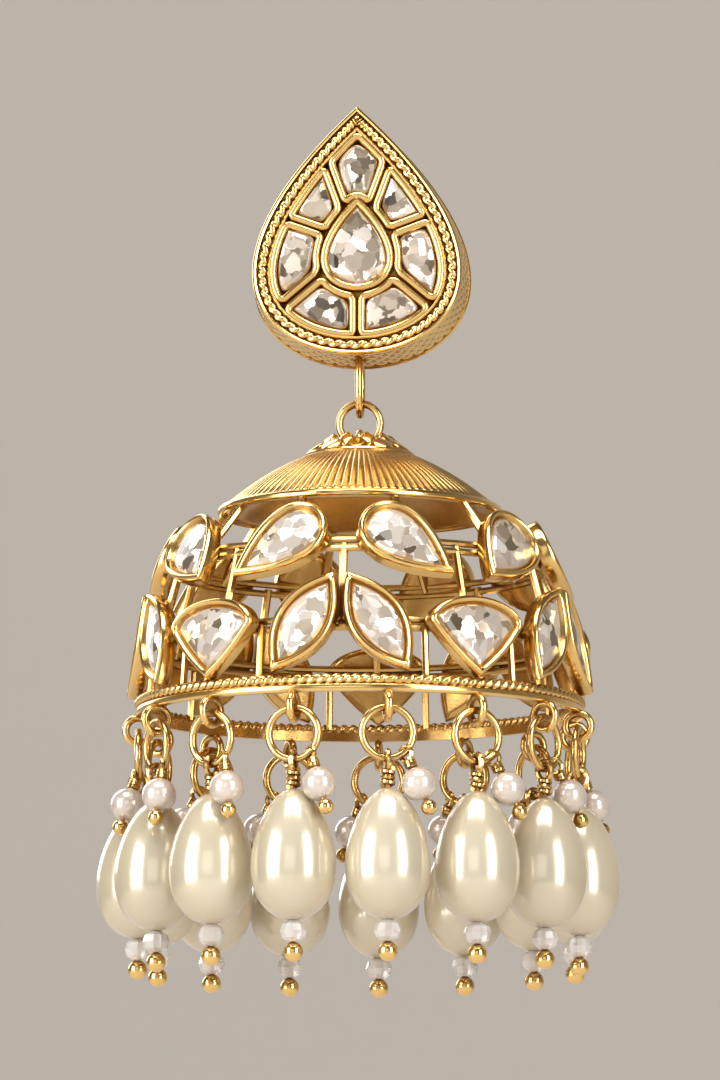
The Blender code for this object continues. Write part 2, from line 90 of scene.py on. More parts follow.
# %% Camera
VIEW_AZIMUTH = 5.0
VIEW_ELEVATION = -8.0
VIEW_DISTANCE = 0.60
VIEW_HEIGHT = 84 * MM
SENSOR = 24.0


def look_at(obj, target):
    obj.rotation_euler = (target - obj.location).to_track_quat("-Z", "Y").to_euler()


def place_camera():
    low, high = cad_box
    target = Vector((0, HANG_Y, (low[2] + high[2]) / 2))
    turn = radians(VIEW_AZIMUTH)
    rise = radians(VIEW_ELEVATION)
    away = Vector((sin(turn) * cos(rise), -cos(turn) * cos(rise), sin(rise)))
    data = bpy.data.cameras.new("camera")
    data.sensor_fit = "VERTICAL"
    data.sensor_height = SENSOR
    data.lens = SENSOR * VIEW_DISTANCE / VIEW_HEIGHT
    data.clip_start = 0.01
    camera = bpy.data.objects.new("camera", data)
    camera.location = target + away * VIEW_DISTANCE
    look_at(camera, target)
    bpy.context.scene.collection.objects.link(camera)
    bpy.context.scene.camera = camera
    return data.lens


print("lens", round(place_camera(), 1), "mm")

# %% [markdown]
# Several finishes share the same small effects, so each effect is a node group with its
# own inputs and outputs. polish_marks is the unevenness of hand polish, and at a slow
# scale the clouds under a pearl's skin. corner_shade is white in the open and dark where
# other metal is near; the materials use it for painted shade in corners and inside the
# bell, for a painted reflection of the bezel at a stone's edge, and to dull the corners,
# where a polishing cloth doesn't reach. cut_faces breaks a surface into small tilted
# faces, as glass does over foil: cells whose edges a slow noise bends, so that they look
# cut by hand. A group gives out only masks, heights, colours and normals, and the shader
# stays in each material.

# %% Shared effects


def new_group(name, inputs, **outputs):
    tree = bpy.data.node_groups.new(name, "ShaderNodeTree")
    for label in inputs:
        tree.interface.new_socket(label, in_out="INPUT", socket_type="NodeSocketFloat")
    for label, kind in outputs.items():
        tree.interface.new_socket(label, in_out="OUTPUT", socket_type="NodeSocket" + kind)
    return tree, tree.nodes.new("NodeGroupInput"), tree.nodes.new("NodeGroupOutput")


def set_values(node, values):
    for label, value in values.items():
        node.inputs[label].default_value = value


def feed(tree, socket, value):
    """Links a node's output to a socket, or sets the socket's own number or colour."""
    if hasattr(value, "is_linked"):
        tree.links.new(value, socket)
    elif socket.type == "RGBA":
        socket.default_value = (*value, 1)
    else:
        socket.default_value = value


def maths(tree, operation, one, two):
    node = tree.nodes.new("ShaderNodeMath")
    node.operation = operation
    feed(tree, node.inputs[0], one)
    feed(tree, node.inputs[1], two)
    return node.outputs[0]


def vectors(tree, operation, one, two=(0, 0, 0)):
    node = tree.nodes.new("ShaderNodeVectorMath")
    node.operation = operation
    feed(tree, node.inputs[0], one)
    feed(tree, node.inputs["Scale" if operation == "SCALE" else 1], two)
    return node.outputs[0]


def noise(tree, scale, detail, stretch=(1, 1, 1)):
    place = tree.nodes.new("ShaderNodeTexCoord")
    mapping = tree.nodes.new("ShaderNodeMapping")
    mapping.inputs["Scale"].default_value = stretch
    tree.links.new(place.outputs["Object"], mapping.inputs["Vector"])
    node = tree.nodes.new("ShaderNodeTexNoise")
    node.inputs["Detail"].default_value = detail
    tree.links.new(mapping.outputs[0], node.inputs["Vector"])
    tree.links.new(scale, node.inputs["Scale"])
    return node.outputs["Fac"]


def make_polish_marks():
    tree, given, out = new_group("polish_marks", ("Scale", "Scratches"), Tone="Float", Height="Float")
    soft = noise(tree, given.outputs["Scale"], 3.0)
    fine = noise(tree, maths(tree, "MULTIPLY", given.outputs["Scale"], 3.0), 4.0, (1, 1, 7))
    tree.links.new(soft, out.inputs["Tone"])
    scratched = maths(tree, "MULTIPLY", fine, given.outputs["Scratches"])
    tree.links.new(maths(tree, "ADD", soft, scratched), out.inputs["Height"])
    return tree


def make_corner_shade():
    tree, given, out = new_group("corner_shade", ("Reach",), Open="Float")
    hidden = tree.nodes.new("ShaderNodeAmbientOcclusion")
    hidden.samples = 4
    tree.links.new(given.outputs["Reach"], hidden.inputs["Distance"])
    spread = tree.nodes.new("ShaderNodeMapRange")
    set_values(spread, {"From Min": 0.25, "From Max": 0.85})
    tree.links.new(hidden.outputs["AO"], spread.inputs["Value"])
    tree.links.new(spread.outputs[0], out.inputs["Open"])
    return tree


def make_cut_faces():
    tree, given, out = new_group("cut_faces", ("Scale", "Tilt", "Waver"), Tone="Float", Normal="Vector")
    place = tree.nodes.new("ShaderNodeTexCoord")
    sized = vectors(tree, "SCALE", place.outputs["Object"], given.outputs["Scale"])
    wander = tree.nodes.new("ShaderNodeTexNoise")
    wander.inputs["Scale"].default_value = 1.3
    tree.links.new(sized, wander.inputs["Vector"])
    middle = (0.5, 0.5, 0.5)
    wandered = vectors(tree, "SUBTRACT", wander.outputs["Color"], middle)
    moved = vectors(tree, "SCALE", wandered, given.outputs["Waver"])
    cells = tree.nodes.new("ShaderNodeTexVoronoi")
    cells.feature = "SMOOTH_F1"
    set_values(cells, {"Scale": 1.0, "Smoothness": 0.10})
    tree.links.new(vectors(tree, "ADD", sized, moved), cells.inputs["Vector"])
    turned = vectors(tree, "SUBTRACT", cells.outputs["Color"], middle)
    tilted = vectors(tree, "SCALE", turned, given.outputs["Tilt"])
    surface = tree.nodes.new("ShaderNodeNewGeometry")
    leaning = vectors(tree, "ADD", tilted, surface.outputs["Normal"])
    split = tree.nodes.new("ShaderNodeSeparateColor")
    tree.links.new(cells.outputs["Color"], split.inputs[0])
    tree.links.new(split.outputs[1], out.inputs["Tone"])
    tree.links.new(vectors(tree, "NORMALIZE", leaning), out.inputs["Normal"])
    return tree


POLISH_MARKS = make_polish_marks()
CORNER_SHADE = make_corner_shade()
CUT_FACES = make_cut_faces()
print("effects:", ", ".join(tree.name for tree in bpy.data.node_groups))

# %% [markdown]
# The metal is brass under a thin bright plating. One colour and one roughness would look
# like plastic, so the same corner shade is used twice: a short reach finds the corners
# between neighbours, and a long one finds the inside of the bell, where the metal sees
# mostly metal. Both are painted shade, a deep brown mixed into the colour, and corners
# are duller too. The cone has a satin skin and the side wall of the stud a chased one, so
# they are the same plating with more roughness and a shorter reach, which goes only into
# their own grooves.

# %% Gold
GOLD_LIGHT = (1.0, 0.70, 0.27)
GOLD_SOFT = (0.82, 0.56, 0.21)
# Deep brown of the painted shade in corners and inside the bell.
GOLD_PAINTED_SHADE = (0.30, 0.13, 0.018)
INSIDE_REACH = 40 * MM
DULL = 0.35


def new_material(name):
    mat = bpy.data.materials.new(name)
    mat.use_nodes = True
    tree = mat.node_tree
    return mat, tree, tree.nodes["Principled BSDF"]


def use_group(tree, group, **values):
    node = tree.nodes.new("ShaderNodeGroup")
    node.node_tree = group
    set_values(node, values)
    return node


def mixed(tree, factor, low, high):
    mix = tree.nodes.new("ShaderNodeMix")
    mix.data_type = "RGBA"
    tree.links.new(factor, mix.inputs["Factor"])
    feed(tree, mix.inputs["A"], low)
    feed(tree, mix.inputs["B"], high)
    return mix.outputs["Result"]


def ranged(tree, value, low, high):
    node = tree.nodes.new("ShaderNodeMapRange")
    set_values(node, {"To Min": low, "To Max": high})
    tree.links.new(value, node.inputs["Value"])
    return node.outputs[0]


def bump(tree, shader, height, depth):
    node = tree.nodes.new("ShaderNodeBump")
    set_values(node, {"Distance": depth, "Strength": 1.0})
    tree.links.new(height, node.inputs["Height"])
    tree.links.new(node.outputs[0], shader.inputs["Normal"])


def gold_material(name, light, rough_low, rough_high, mark_depth, reach):
    mat, tree, shader = new_material(name)
    marks = use_group(tree, POLISH_MARKS, Scale=900.0, Scratches=0.5)
    corner = use_group(tree, CORNER_SHADE, Reach=reach)
    inside = use_group(tree, CORNER_SHADE, Reach=INSIDE_REACH)
    inside_painted_shade = ranged(tree, inside.outputs["Open"], 0.25, 1.0)
    # Painted shade: tone falls in corners and inside the bell, and there the base colour goes from the
    # gold towards a deep brown.
    tone = maths(tree, "MULTIPLY", corner.outputs["Open"], inside_painted_shade)
    tree.links.new(mixed(tree, tone, GOLD_PAINTED_SHADE, light), shader.inputs["Base Color"])
    polished = ranged(tree, marks.outputs["Tone"], rough_low, rough_high)
    dull = ranged(tree, corner.outputs["Open"], DULL, 0.0)
    tree.links.new(maths(tree, "ADD", polished, dull), shader.inputs["Roughness"])
    set_values(shader, {"Metallic": 1.0})
    bump(tree, shader, marks.outputs["Height"], mark_depth)
    return mat


GOLD = gold_material("gold_polished", GOLD_LIGHT, 0.08, 0.22, 0.010 * MM, 1.3 * MM)
GOLD_SATIN = gold_material("gold_satin", GOLD_SOFT, 0.18, 0.26, 0.005 * MM, 0.4 * MM)
GOLD_CHASED = gold_material("gold_chased", GOLD_LIGHT, 0.14, 0.26, 0.008 * MM, 0.5 * MM)
print("gold finishes:", GOLD.name, GOLD_SATIN.name, GOLD_CHASED.name)

# %% [markdown]
# A kundan stone is a flat piece of clear stone or glass laid on silver foil, so most of
# what is seen is the foil, broken up by the cut faces between. Real glass over a mirror
# is slow to trace and turns grey, so the body of a stone is nearly half metal, with a
# normal tilted cell by cell, under a clear coat that keeps the outer surface smooth and
# wet. Near its bezel a stone's colour goes to a gold brown, a painted reflection of the
# bezel. The stones of the stud lie deeper between their walls and look darker, so they
# have a darker set of tones of their own, which is painted shade. The small beads under
# the pearls are plain glass, a little milky.

# %% Stones and glass beads
STONE_TONES = ((0.0, (0.09, 0.07, 0.04)), (0.14, (0.34, 0.27, 0.19)), (0.30, (0.57, 0.48, 0.39)),
               (0.65, (0.77, 0.68, 0.59)), (1.0, (1.0, 0.95, 0.90)))
# Darker tones for the stud's stones, which lie deeper between walls: painted shade.
STONE_TONES_PAINTED_SHADE = ((0.0, (0.06, 0.045, 0.03)), (0.20, (0.23, 0.18, 0.12)), (0.42, (0.41, 0.34, 0.26)),
                    (0.72, (0.64, 0.55, 0.45)), (1.0, (0.97, 0.91, 0.84)))
# Gold brown of the painted reflection of the bezel, near a stone's edge.
STONE_PAINTED_BEZEL_REFLECTION = (0.62, 0.38, 0.14)


def ramp(tree, value, stops):
    node = tree.nodes.new("ShaderNodeValToRGB")
    elements = node.color_ramp.elements
    while len(elements) < len(stops):
        elements.new(0.5)
    for element, (place, color) in zip(elements, stops):
        element.position = place
        element.color = (*color, 1)
    tree.links.new(value, node.inputs[0])
    return node.outputs[0]


def stone_material(name, tones):
    mat, tree, shader = new_material(name)
    faces = use_group(tree, CUT_FACES, Scale=950.0, Tilt=0.75, Waver=1.0)
    # Painted reflection of the bezel: near the bezel the stone's colour goes to a gold brown.
    edge = use_group(tree, CORNER_SHADE, Reach=1.6 * MM)
    foil = ramp(tree, faces.outputs["Tone"], tones)
    tree.links.new(mixed(tree, edge.outputs["Open"], STONE_PAINTED_BEZEL_REFLECTION, foil), shader.inputs["Base Color"])
    tree.links.new(ranged(tree, faces.outputs["Tone"], 0.16, 0.04), shader.inputs["Roughness"])
    tree.links.new(faces.outputs["Normal"], shader.inputs["Normal"])
    set_values(shader, {"Metallic": 0.45, "Coat Weight": 1.0, "Coat Roughness": 0.03})
    return mat


BEAD_TONES = ((0.0, (0.80, 0.72, 0.66)), (0.5, (0.96, 0.92, 0.88)), (1.0, (1.0, 0.99, 0.97)))


def bead_material():
    mat, tree, shader = new_material("bead_glass")
    faces = use_group(tree, CUT_FACES, Scale=700.0, Tilt=0.25, Waver=0.4)
    tone = ramp(tree, faces.outputs["Tone"], BEAD_TONES)
    tree.links.new(tone, shader.inputs["Base Color"])
    tree.links.new(faces.outputs["Normal"], shader.inputs["Normal"])
    tree.links.new(ranged(tree, faces.outputs["Tone"], 0.03, 0.14), shader.inputs["Roughness"])
    set_values(shader, {"Transmission Weight": 0.42, "IOR": 1.5, "Coat Weight": 0.6})
    return mat


STONE = stone_material("foiled_stone", STONE_TONES)
# The stud's stones take the darker tones, which are painted shade.
PAINTED_SHADE_STONE = stone_material("foiled_stone_painted_shade", STONE_TONES_PAINTED_SHADE)
BEAD = bead_material()
print("clear finishes:", STONE.name, PAINTED_SHADE_STONE.name, BEAD.name)

# %% [markdown]
# The drop pearls are glass or shell beads dipped in pearl lacquer: cream, with faint
# warmer clouds, a silky shine underneath and a glossy skin on top. Two creams mixed by a
# slow noise make the clouds, a little metal in the body makes the silky shine, a clear
# coat is the skin, and the colour deepens to olive where the surface turns away from the
# eye, which is painted shade at the rim. The small round pearls are made the same way in
# whiter, pinker colours.

# %% Pearl
def pearl_material(name, low, high, edge):
    mat, tree, shader = new_material(name)
    clouds = use_group(tree, POLISH_MARKS, Scale=170.0, Scratches=0.0)
    # Painted shade at the rim: the colour deepens to olive where the surface turns away from the eye.
    painted_rim_shade = tree.nodes.new("ShaderNodeLayerWeight")
    painted_rim_shade.inputs["Blend"].default_value = 0.35
    body = mixed(tree, clouds.outputs["Tone"], low, high)
    skin = mixed(tree, painted_rim_shade.outputs["Facing"], body, edge)
    tree.links.new(skin, shader.inputs["Base Color"])
    tree.links.new(ranged(tree, clouds.outputs["Tone"], 0.19, 0.26), shader.inputs["Roughness"])
    set_values(shader, {"Metallic": 0.28, "Coat Weight": 0.9, "Coat Roughness": 0.06,
                        "Coat IOR": 1.65, "Sheen Weight": 0.2})
    return mat


# The third colour of each is the painted shade at the rim.
PEARL = pearl_material("pearl_cream", (0.63, 0.56, 0.40), (0.72, 0.66, 0.52), (0.54, 0.43, 0.24))
SMALL_PEARL = pearl_material("pearl_white", (0.69, 0.60, 0.53), (0.78, 0.71, 0.65), (0.50, 0.41, 0.32))
print("pearl finishes:", PEARL.name, SMALL_PEARL.name)

# %% [markdown]
# Every shape here is made in one of three ways: outlines are stacked on each other, a
# profile is turned round Z, or a round wire is swept along a path. Each is a closed mesh
# of its own, and many of them make one object. An outline is a list of points going
# anticlockwise, and insetting it keeps an even wall round a sharp tip.

# %% Outlines


def pear(length, width, count):
    """A teardrop with its tip at the top."""
    widest = max(sin(pi * k / 200) * sin(pi * k / 400) for k in range(1, 200))
    points = []
    for k in range(count):
        t = 2 * pi * k / count
        points.append(Vector((-width / 2 * sin(t) * sin(t / 2) / widest, length / 2 * cos(t))))
    return points


def leaf(length, width, count):
    half = count // 2
    points = []
    for side in (-1, 1):
        for k in range(half):
            along = 1 - 2 * k / half
            points.append(Vector((side * width / 2 * (1 - along ** 2), -side * length / 2 * along)))
    return points


def fan(length, width, count, shoulder=0.15, bulge=0.07):
    """A round top over two sides that bulge a little and meet in a point below."""
    centre = Vector((0, length * shoulder))
    arc = count // 2
    points = []
    for k in range(arc):
        a = pi * k / arc
        points.append(Vector((width / 2 * cos(a), centre.y + (length / 2 - centre.y) * sin(a))))
    left = Vector((-width / 2, centre.y))
    tip = Vector((0, -length / 2))
    right = Vector((width / 2, centre.y))
    steps = count // 4
    for start, end in ((left, tip), (tip, right)):
        middle = (start + end) / 2
        pull = middle + (middle - centre).normalized() * width * bulge
        for k in range(steps):
            s = k / steps
            points.append(start * (1 - s) ** 2 + pull * 2 * s * (1 - s) + end * s ** 2)
    return points


def rounded(points, times):
    """Cuts every corner off again and again, which leaves a soft outline."""
    for _ in range(times):
        cut = []
        for k, point in enumerate(points):
            after = points[(k + 1) % len(points)]
            cut += [point * 0.75 + after * 0.25, point * 0.25 + after * 0.75]
        points = cut
    return points


def middle_of(points):
    return sum(points, Vector((0, 0))) / len(points)


def inset(points, distance):
    middle = middle_of(points)
    sides = []
    for k, point in enumerate(points):
        way = (point - points[k - 1]).normalized()
        normal = Vector((way.y, -way.x))
        sides.append((normal, normal.dot(point - middle) - distance))
    moved = []
    for point in points:
        way = (point - middle).normalized()
        facing = [(gap, normal.dot(way)) for normal, gap in sides if normal.dot(way) > 0.05]
        moved.append(middle + way * min(gap / share for gap, share in facing))
    return moved


def soft_inset(points, distance):
    """Insets an outline that may be hollow on one side, if its corners are round enough."""
    moved = []
    for k, point in enumerate(points):
        way = (points[(k + 1) % len(points)] - points[k - 1]).normalized()
        moved.append(point + Vector((-way.y, way.x)) * distance)
    return moved


def scaled(points, share):
    middle = middle_of(points)
    return [middle + (point - middle) * share for point in points]


print("a pear outline of", len(pear(1, 1, 48)), "points")

# %% Closed shapes


def skinned(bm, rows, ends):
    """Fills the faces between closed rows of points. The ends are open, capped or joined."""
    pairs = list(zip(rows, rows[1:]))
    if ends == "joined":
        pairs.append((rows[-1], rows[0]))
    if ends == "capped":
        bm.faces.new(list(reversed(rows[0])))
        bm.faces.new(rows[-1])
    for low, high in pairs:
        count = max(len(low), len(high))
        for k in range(count):
            n = (k + 1) % count
            corners = [low[k % len(low)], low[n % len(low)], high[n % len(high)], high[k % len(high)]]
            bm.faces.new(list(dict.fromkeys(corners)))
    bmesh.ops.recalc_face_normals(bm, faces=bm.faces)
    return bm


def stack(levels, ring=False):
    """Joins outlines, each with its height, into a solid, or into a closed wall."""
    bm = bmesh.new()
    rows = []
    for points, height in levels:
        rows.append([bm.verts.new((point.x, point.y, height)) for point in points])
    return skinned(bm, rows, "joined" if ring else "capped")


def lathe(profile, segments, ripple=None):
    """Turns (radius, height) pairs round Z. ripple(angle, row) adds to the radius."""
    bm = bmesh.new()
    rows = []
    for row, (radius, height) in enumerate(profile):
        verts = []
        for k in range(segments if radius else 1):
            a = 2 * pi * k / segments
            r = radius + (ripple(a, row) if ripple and radius else 0)
            verts.append(bm.verts.new((r * cos(a), r * sin(a), height)))
        rows.append(verts)
    return skinned(bm, rows, "open")


def wire(path, radius, sides=8, closed=True, twists=0, depth=0.0):
    """Sweeps round wire along a path. With twists it is a rope of two strands."""
    count = len(path)
    tangents = []
    for k in range(count):
        before = path[k - 1] if closed or k > 0 else path[0]
        after = path[(k + 1) % count] if closed or k < count - 1 else path[-1]
        tangents.append((after - before).normalized())
    side = tangents[0].orthogonal().normalized()
    bm = bmesh.new()
    rows = []
    for k, tangent in enumerate(tangents):
        side = (side - tangent * side.dot(tangent)).normalized()
        other = tangent.cross(side)
        row = []
        for s in range(sides):
            a = 2 * pi * s / sides
            strand = abs(cos(pi * twists * k / count + a))
            r = radius * (1 - depth + depth * strand) if twists else radius
            row.append(bm.verts.new(path[k] + (side * cos(a) + other * sin(a)) * r))
        rows.append(row)
    return skinned(bm, rows, "joined" if closed else "capped")


def oval(half_u, half_v, count):
    angles = [2 * pi * k / count for k in range(count)]
    return [Vector((half_u * cos(a), half_v * sin(a), 0)) for a in angles]


def bead(radius, segments=24, rows=12, stretch=1.0):
    tall = radius * stretch
    profile = [(0, tall)]
    profile += [(radius * sin(pi * k / rows), tall * cos(pi * k / rows)) for k in range(1, rows)]
    return lathe(profile + [(0, -tall)], segments)


def bar(start, end, radius):
    steps = 4
    return wire([start.lerp(end, k / steps) for k in range(steps + 1)], radius, closed=False)


def put(bm, matrix):
    bm.transform(matrix)
    return bm


print("shapes: stack, lathe, wire, bead and bar")

# %% [markdown]
# Polished gold shows little of its own colour: it shows the room. So the light is what
# makes it look like gold. Two tall soft boxes stand left and right of the camera and
# leave the upright streaks on the pearls, a wide one hangs overhead for the cone, and a
# dim card far in front lifts what faces the camera. The darker surround between them
# gives the metal its brown shadows. A small box stands at the back, and one more light is
# for the wall there. The floor is plain pale paper that curves up into a wall all round,
# far enough away that any view is clear.

# %% Studio
FLOOR_Z = -0.16
WALL_R = 2.2
WALL_TOP = 2.4
WALL_BEND = 0.7
BEND_STEPS = 12


def area_light(name, place, size, watts, target, color=(1, 1, 1)):
    data = bpy.data.lights.new(name, "AREA")
    data.shape = "RECTANGLE"
    data.size, data.size_y = size
    data.energy = watts
    data.color = color
    light = bpy.data.objects.new(name, data)
    light.location = place
    light.visible_camera = False
    look_at(light, target)
    bpy.context.scene.collection.objects.link(light)


def paper_material():
    """Pale matt paper. A faint glow stands for the light that a white room sends back."""
    mat, _, shader = new_material("studio_paper")
    set_values(shader, {"Base Color": (0.60, 0.56, 0.52, 1), "Roughness": 0.9,
                        "Emission Color": (0.60, 0.54, 0.47, 1), "Emission Strength": 0.09})
    return mat


def paper_bowl():
    """One sheet of paper that is the floor and curves up into a wall all round."""
    profile = [(0, FLOOR_Z)]
    for k in range(BEND_STEPS + 1):
        a = pi / 2 * k / BEND_STEPS
        profile.append((WALL_R - WALL_BEND * (1 - sin(a)), FLOOR_Z + WALL_BEND * (1 - cos(a))))
    profile.append((WALL_R, WALL_TOP))
    mesh = bpy.data.meshes.new("studio_floor")
    bowl = lathe(profile, 96)
    bowl.to_mesh(mesh)
    bowl.free()
    mesh.shade_smooth()
    mesh.materials.append(paper_material())
    floor = bpy.data.objects.new("studio_floor", mesh)
    bpy.context.scene.collection.objects.link(floor)


def light_studio():
    """Every light has a place, a width and height, and its watts, and all but one face the middle."""
    middle = Vector((0, HANG_Y, -0.025))
    area_light("left_box", (-0.44, -0.36, 0.02), (0.34, 0.62), 3.6, middle)
    area_light("right_box", (0.42, -0.42, 0.04), (0.22, 0.62), 2.8, middle)
    area_light("front_card", (-0.10, -1.20, 0.17), (0.60, 0.60), 1.0, middle)
    area_light("top_box", (0.0, -0.18, 0.50), (0.46, 0.30), 2.6, middle, (1.0, 0.98, 0.95))
    area_light("paper_light", (0.0, 0.75, 0.95), (1.4, 0.4), 11.0, Vector((0, WALL_R, 0.1)))
    area_light("rear_box", (-0.30, 0.40, 0.25), (0.30, 0.50), 1.4, middle)
    world = bpy.context.scene.world or bpy.data.worlds.new("world")
    bpy.context.scene.world = world
    world.use_nodes = True
    set_values(world.node_tree.nodes["Background"], {"Color": (0.58, 0.47, 0.36, 1), "Strength": 0.20})
    bpy.context.scene.view_settings.view_transform = "Standard"


paper_bowl()
light_studio()
print("studio: paper bowl and", len(bpy.data.lights), "soft boxes")

# %% [markdown]
# A made piece becomes one object. It rides on its body, so that it swings with it, hides
# the plain solids it stands for, and gets its material. Edges sharper than a
# chosen angle stay crisp, and the rest is shaded round. A shape is first made lying flat
# at the origin: FRONT stands it up so that it faces -Y, and SIDEWAYS so that it faces +X.

# %% Making a piece


def piece(name, parts, mat, body, stands_for=(), crisp=38):
    whole = bmesh.new()
    for bm in parts:
        part = bpy.data.meshes.new("part")
        bm.to_mesh(part)
        bm.free()
        whole.from_mesh(part)
        bpy.data.meshes.remove(part)
    mesh = bpy.data.meshes.new(name)
    whole.to_mesh(mesh)
    whole.free()
    mesh.materials.append(mat)
    if crisp:
        mesh.shade_smooth()
        mesh.set_sharp_from_angle(angle=radians(crisp))
    obj = bpy.data.objects.new(name, mesh)
    bpy.context.scene.collection.objects.link(obj)
    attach(obj, body)
    if stands_for:
        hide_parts(*stands_for)
    return obj


FRONT = Matrix(((1, 0, 0, 0), (0, 0, -1, 0), (0, 1, 0, 0), (0, 0, 0, 1)))
SIDEWAYS = Matrix(((0, 0, 1, 0), (1, 0, 0, 0), (0, 1, 0, 0), (0, 0, 0, 1)))


def at(z, y=0.0):
    return Matrix.Translation((0, y, z))


def around(azimuth):
    """Turns the front of the bell to an azimuth, counted from -Y towards +X."""
    return at(0, HANG_Y) @ Matrix.Rotation(azimuth, 4, "Z")


def above_rim(height):
    """Moves a shape made round Z on to the bell's axis, at a height above the rim plane."""
    return at(RIM_Z + height, HANG_Y)


def wire_ring(radius, thickness, count, sides, place, **rope):
    """One round ring of wire, made flat and then put in its place."""
    return put(wire(oval(radius, radius, count), thickness, sides, **rope), place)


# %% [markdown]
# The stud is a shallow teardrop box. A plain outer edge holds a twisted wire, soldered
# just inside it, and then a thin inner wall closes the field of stones, whose floor is
# sunk. The side wall is chased with small round scales. All of it could be cut from one
# block, but here the outline is inset step by step and each inset has its own height,
# which gives every edge an even width round the tip. The scales are a ripple on the
# points of the wall, and the twisted wire is two strands swept along the outline.

# %% Stud
STUD_LENGTH = 19.5 * MM
STUD_WIDTH = 16.3 * MM
STUD_DEPTH = 5.5 * MM
STUD_FLARE = 0.4 * MM
STUD_BELOW_POST = 8.0 * MM
STUD_RIM = 1.5 * MM
BACK_THICK = 0.45 * MM
BACK_BEVEL = 0.10 * MM
SCALES = 64
SCALE_ROWS = 5
SCALE_STEPS = 6
SCALE_DEPTH = 0.14 * MM
STUD_ROPE_INSET = 0.72 * MM
STUD_ROPE_R = 0.44 * MM
STUD_ROPE_TURNS = 70
TRACK_STEPS = 8
ROPE_DEPTH = 0.42
ROPE_SIDES = 14
FIELD_DEPTH = 1.0 * MM
LOOP_HALF_DEPTH = 1.3 * MM


def lifted(points, height):
    return [Vector((point.x, point.y + height)) for point in points]


def stud_outline(count):
    return lifted(pear(STUD_LENGTH, STUD_WIDTH, count), STUD_LENGTH / 2 - STUD_BELOW_POST)


STUD_OUTLINE = stud_outline(96)
STUD_FIELD = inset(STUD_OUTLINE, STUD_RIM)


def stud_back():
    edge = inset(STUD_OUTLINE, -STUD_FLARE)
    bevelled = inset(edge, BACK_BEVEL)
    levels = [(bevelled, 0), (edge, BACK_BEVEL), (edge, BACK_THICK - BACK_BEVEL), (bevelled, BACK_THICK)]
    return put(stack(levels), FRONT)


def stud_wall():
    """The side wall, chased all round with rows of small round scales."""
    outline = stud_outline(SCALES * SCALE_STEPS)
    low, high = 0.4 * MM, STUD_DEPTH - 0.75 * MM
    count = SCALE_ROWS * SCALE_STEPS
    levels = []
    for step in range(count + 1):
        flare = STUD_FLARE * (0.75 - 0.5 * step / count)
        outer, inner = inset(outline, -flare), inset(outline, SCALE_DEPTH - flare)
        shift = 0.5 * (step // SCALE_STEPS % 2)
        across = sin(pi * (step % SCALE_STEPS) / SCALE_STEPS) ** 0.5
        points = []
        for k in range(len(outline)):
            along = abs(sin(pi * (k / SCALE_STEPS + shift))) ** 0.5
            points.append(inner[k].lerp(outer[k], along * across))
        levels.append((points, low + (high - low) * step / count))
    return put(stack(levels), FRONT)


STUD_FACE_STEPS = ((0.10, -0.80), (-0.05, -0.70), (-0.05, -0.20), (0.02, -0.06), (0.13, 0.0),
                   (0.25, -0.06), (0.30, -0.40), (1.14, -0.40), (1.16, -0.10), (1.24, -0.02),
                   (1.34, -0.02), (1.40, -0.10), (1.42, -0.35), (1.42, -FIELD_DEPTH / MM))


def stepped(outline, steps, height, narrowed=inset):
    """Levels for stack. Each step is an inset and a rise, in millimetres."""
    return [(narrowed(outline, step * MM), height + rise * MM) for step, rise in steps]


def stud_face():
    """The front: an edge, a groove for the rope, a thin wall and the sunk floor of the field."""
    return put(stack(stepped(STUD_OUTLINE, STUD_FACE_STEPS, STUD_DEPTH)), FRONT)


def stud_rope():
    track = inset(STUD_OUTLINE, STUD_ROPE_INSET)
    dense = []
    for k, point in enumerate(track):
        after = track[(k + 1) % len(track)]
        dense += [point.lerp(after, s / TRACK_STEPS) for s in range(TRACK_STEPS)]
    path = [Vector((point.x, point.y, STUD_DEPTH - 0.40 * MM)) for point in dense]
    return put(wire(path, STUD_ROPE_R, ROPE_SIDES, twists=STUD_ROPE_TURNS, depth=ROPE_DEPTH), FRONT)


def stud_loop():
    """The soldered loop under the stud, seen edge on from the front."""
    stud_bottom = -STUD_BELOW_POST
    half = (stud_bottom - LOOP_BOTTOM_Z + WIRE_R) / 2
    place = at(LOOP_BOTTOM_Z + half, HANG_Y) @ SIDEWAYS
    loop = put(wire(oval(LOOP_HALF_DEPTH, half, 40), WIRE_R, 10), place)
    return [loop, put(bead(0.5 * MM, stretch=0.8), at(stud_bottom - 0.2 * MM, HANG_Y))]


piece("stud_wall", [stud_wall()], GOLD_CHASED, "stud", crisp=80)
piece("stud_case", [stud_back(), stud_face()] + stud_loop(), GOLD, "stud", ["stud_setting"])
piece("stud_rope", [stud_rope()], GOLD, "stud", crisp=60)
print(f"stud {STUD_LENGTH / MM:.1f} by {STUD_WIDTH / MM:.1f} mm, {SCALES} by {SCALE_ROWS} scales")

# %% [markdown]
# Eight stones fill the field: a pear in the middle and seven round it, each in a bezel
# of its own, a strip of metal bent round the stone. The cells are what is left between
# the middle bezel and the wall when seven walls run outwards, with their corners rounded
# off. A bezel is its cell's outline, inset step by step under a half-round top. A stone
# is a little rounder than its cell, and rises from its girdle to a slightly domed table
# that is never quite level, because such stones are cut by hand.

